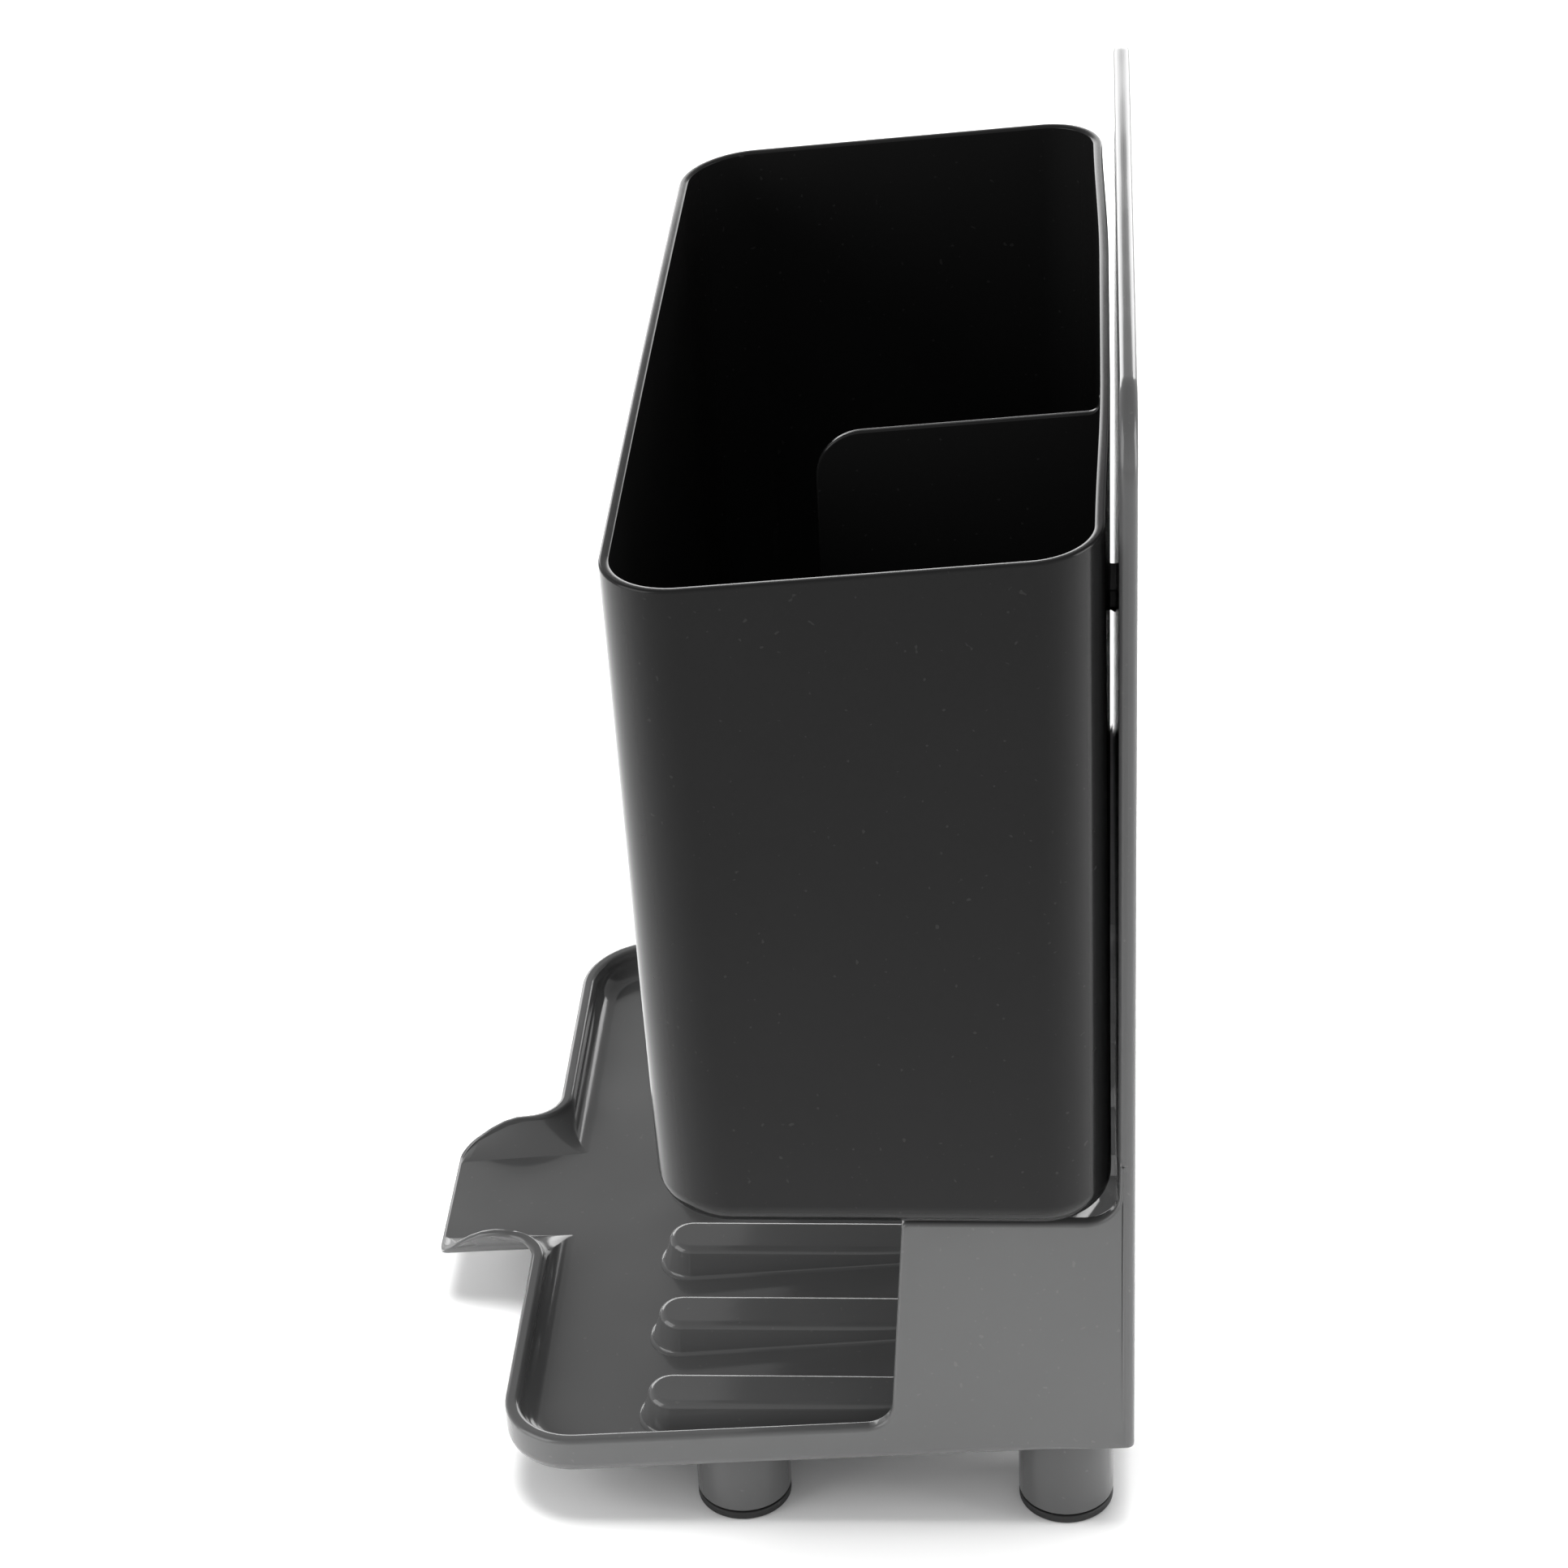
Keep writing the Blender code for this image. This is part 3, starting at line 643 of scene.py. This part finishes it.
def moulded_surface():
    """A node group: cloudy tint and gloss, a slow wave from cooling and a fine grain."""
    group = bpy.data.node_groups.new("moulded_surface", "ShaderNodeTree")
    for label, kind, value in (("Dark Tint", "NodeSocketColor", (0.1, 0.1, 0.1, 1)),
                               ("Light Tint", "NodeSocketColor", (0.2, 0.2, 0.2, 1)),
                               ("Smoothest", "NodeSocketFloat", 0.2),
                               ("Roughest", "NodeSocketFloat", 0.3),
                               ("Grain Scale", "NodeSocketFloat", 2000.0),
                               ("Grain Share", "NodeSocketFloat", 0.2),
                               ("Dust", "NodeSocketFloat", 0.0)):
        socket = group.interface.new_socket(label, in_out="INPUT", socket_type=kind)
        socket.default_value = value
    for label, kind in (("Color", "NodeSocketColor"), ("Roughness", "NodeSocketFloat"),
                        ("Height", "NodeSocketFloat")):
        group.interface.new_socket(label, in_out="OUTPUT", socket_type=kind)
    node = group.nodes.new
    link = group.links.new
    inward, outgoing = node("NodeGroupInput"), node("NodeGroupOutput")
    place = node("ShaderNodeTexCoord")

    def noise(scale, detail):
        made = node("ShaderNodeTexNoise")
        link(place.outputs["Object"], made.inputs["Vector"])
        made.inputs["Detail"].default_value = detail
        if scale is not None:
            made.inputs["Scale"].default_value = scale
        return made

    clouds, wave = noise(38.0, 3.0), noise(24.0, 1.0)
    grain, specks = noise(None, 2.0), noise(900.0, 0.0)
    link(inward.outputs["Grain Scale"], grain.inputs["Scale"])

    dust = node("ShaderNodeMapRange")
    link(specks.outputs["Fac"], dust.inputs["Value"])
    dust.inputs["From Min"].default_value = 0.80
    dust.inputs["From Max"].default_value = 0.86
    link(inward.outputs["Dust"], dust.inputs["To Max"])

    tint = node("ShaderNodeMix")
    tint.data_type = "RGBA"
    link(clouds.outputs["Fac"], tint.inputs["Factor"])
    link(inward.outputs["Dark Tint"], tint.inputs["A"])
    link(inward.outputs["Light Tint"], tint.inputs["B"])
    dusted = node("ShaderNodeMix")
    dusted.data_type = "RGBA"
    link(dust.outputs["Result"], dusted.inputs["Factor"])
    link(tint.outputs["Result"], dusted.inputs["A"])
    dusted.inputs["B"].default_value = (0.5, 0.5, 0.49, 1)
    link(dusted.outputs["Result"], outgoing.inputs["Color"])

    gloss = node("ShaderNodeMapRange")
    link(clouds.outputs["Fac"], gloss.inputs["Value"])
    gloss.inputs["From Min"].default_value = 0.3
    gloss.inputs["From Max"].default_value = 0.7
    link(inward.outputs["Smoothest"], gloss.inputs["To Min"])
    link(inward.outputs["Roughest"], gloss.inputs["To Max"])
    link(gloss.outputs["Result"], outgoing.inputs["Roughness"])

    fine = node("ShaderNodeMath")
    fine.operation = "MULTIPLY"
    link(grain.outputs["Fac"], fine.inputs[0])
    link(inward.outputs["Grain Share"], fine.inputs[1])
    total = node("ShaderNodeMath")
    total.operation = "ADD"
    link(wave.outputs["Fac"], total.inputs[0])
    link(fine.outputs["Value"], total.inputs[1])
    link(total.outputs["Value"], outgoing.inputs["Height"])
    return group


def plastic(name, group, values, bump, depth, specular):
    """A moulded plastic: the group's tint, gloss and height on a Principled shader."""
    look = bpy.data.materials.new(name)
    look.use_nodes = True
    nodes, links = look.node_tree.nodes, look.node_tree.links
    shader = nodes["Principled BSDF"]
    shader.inputs["Specular IOR Level"].default_value = specular
    surface = nodes.new("ShaderNodeGroup")
    surface.node_tree = group
    for label, value in values.items():
        surface.inputs[label].default_value = value
    relief = nodes.new("ShaderNodeBump")
    relief.inputs["Strength"].default_value = bump
    relief.inputs["Distance"].default_value = depth
    links.new(surface.outputs["Color"], shader.inputs["Base Color"])
    links.new(surface.outputs["Roughness"], shader.inputs["Roughness"])
    links.new(surface.outputs["Height"], relief.inputs["Height"])
    links.new(relief.outputs["Normal"], shader.inputs["Normal"])
    return look


def grey(level):
    """A near-neutral grey with a trace of blue."""
    return (level, level * 1.003, level * 1.008, 1.0)


surface_group = moulded_surface()
grey_plastic = plastic("grey_polypropylene", surface_group,
                       {"Dark Tint": grey(0.108), "Light Tint": grey(0.117), "Smoothest": 0.10,
                        "Roughest": 0.15, "Grain Scale": 2600.0, "Grain Share": 0.02, "Dust": 0.05},
                       0.5, 0.0006, 0.5)
black_plastic = plastic("black_polypropylene", surface_group,
                        {"Dark Tint": grey(0.0125), "Light Tint": grey(0.0140), "Smoothest": 0.13,
                         "Roughest": 0.18, "Grain Scale": 3200.0, "Grain Share": 0.03, "Dust": 0.03},
                        0.4, 0.0005, 0.19)
# The legs are the same grey polypropylene as the moulding. Their darker tint is painted shade from
# the tray above them.
leg_plastic_painted_shade = plastic("leg_polypropylene_painted_shade", surface_group,
                      {"Dark Tint": grey(0.078), "Light Tint": grey(0.085), "Smoothest": 0.16,
                       "Roughest": 0.22, "Grain Scale": 2600.0, "Grain Share": 0.03, "Dust": 0.05},
                      0.5, 0.0006, 0.4)
pad_rubber = plastic("pad_rubber", surface_group,
                     {"Dark Tint": grey(0.008), "Light Tint": grey(0.012), "Smoothest": 0.55,
                      "Roughest": 0.7, "Grain Scale": 4200.0, "Grain Share": 0.4, "Dust": 0.1},
                     0.5, 0.0003, 0.5)

make_moulding(grey_plastic)
make_caddy(black_plastic)
for place_name, leg_x, leg_y in legs():
    make_leg(place_name, leg_x, leg_y, leg_plastic_painted_shade)
    make_pad(place_name, leg_x, leg_y, pad_rubber)


# Studio

def make_floor():
    """A large white board under the rack."""
    bpy.ops.mesh.primitive_plane_add(size=12, location=(0, 0, 0))
    floor = bpy.context.object
    floor.name = "studio_floor"
    paint = bpy.data.materials.new("white_board")
    paint.use_nodes = True
    shader = paint.node_tree.nodes["Principled BSDF"]
    shader.inputs["Base Color"].default_value = (0.9, 0.9, 0.9, 1)
    shader.inputs["Roughness"].default_value = 0.9
    shader.inputs["Specular IOR Level"].default_value = 0.1
    floor.data.materials.append(paint)
    return floor


def aimed(data, name, place, target):
    """A lamp at a place, facing a target: its own Z axis points back from the target."""
    lamp = bpy.data.objects.new(name, data)
    bpy.context.scene.collection.objects.link(lamp)
    back = np.array(place, float) - np.array(target, float)
    back /= np.linalg.norm(back)
    side = np.cross([0.0, 0.0, 1.0], back) if abs(back[2]) < 0.99 else np.array([1.0, 0.0, 0.0])
    side /= np.linalg.norm(side)
    turn = Matrix(np.stack([side, np.cross(back, side), back], 1).tolist())
    lamp.matrix_world = Matrix.Translation(place) @ turn.to_4x4()
    return lamp


def softbox(name, place, target, width, height, power):
    """A rectangular lamp of a width, a height and a power in watts."""
    data = bpy.data.lights.new(name, "AREA")
    data.shape = "RECTANGLE"
    data.size, data.size_y, data.energy = width, height, power
    return aimed(data, name, place, target)


def board_light(floor):
    """A narrow-spread light straight down on the white board alone, which keeps the board white
    right up to the rack and leaves only a close shadow under it."""
    lamp = softbox("board_light", (-0.30, -0.02, 0.8), (-0.30, -0.02, 0), 1.05, 1.1, 4.1)
    lamp.data.spread = math.radians(36)
    receivers = bpy.data.collections.new("white_board")
    receivers.objects.link(floor)
    lamp.light_linking.receiver_collection = receivers


def make_camera():
    """Eye and aim from the pitch, heading and roll of a viewer at the rack's right-hand end."""
    pitch, heading, roll = np.radians([31.449, 5.133, -2.828])
    back = np.array([math.cos(pitch) * math.cos(heading), math.cos(pitch) * math.sin(heading),
                     math.sin(pitch)])
    side = np.array([-math.sin(heading), math.cos(heading), 0.0])
    up = np.cross(back, side)
    right = side * math.cos(roll) + up * math.sin(roll)
    up = np.cross(back, right)
    data = bpy.data.cameras.new("camera")
    data.lens = 92.29
    data.sensor_width = 36
    camera = bpy.data.objects.new("camera", data)
    bpy.context.scene.collection.objects.link(camera)
    place = (0.73795, 0.06986, 0.58042)
    turn = Matrix(np.stack([right, up, back], 1).tolist())
    camera.matrix_world = Matrix.Translation(place) @ turn.to_4x4()
    bpy.context.scene.camera = camera


def make_world():
    """An even white room, brightest at the horizon and dimmer overhead."""
    world = bpy.data.worlds.new("studio")
    world.use_nodes = True
    nodes, links = world.node_tree.nodes, world.node_tree.links
    direction = nodes.new("ShaderNodeTexCoord")
    parts = nodes.new("ShaderNodeSeparateXYZ")
    height = nodes.new("ShaderNodeMapRange")
    links.new(direction.outputs["Generated"], parts.inputs["Vector"])
    links.new(parts.outputs["Z"], height.inputs["Value"])
    height.inputs["From Min"].default_value = 0.1
    height.inputs["From Max"].default_value = 0.8
    height.inputs["To Min"].default_value = 0.78
    height.inputs["To Max"].default_value = 0.42
    sky = nodes["Background"]
    sky.inputs["Color"].default_value = (1, 1, 1, 1)
    links.new(height.outputs["Result"], sky.inputs["Strength"])
    bpy.context.scene.world = world


def make_studio():
    make_world()
    bpy.context.scene.view_settings.view_transform = "Standard"
    board_light(make_floor())
    softbox("left_softbox", (0.45, -1.0, 0.5), (0.05, 0, 0.1), 0.9, 0.9, 6.5)
    softbox("right_softbox", (0.2, 1.1, 0.4), (0.05, 0, 0.12), 0.6, 0.8, 7.0)
    softbox("back_softbox", (-1.5, -0.1, 0.46), (0, 0, 0.15), 2.0, 0.72, 18.0)
    make_camera()


make_studio()
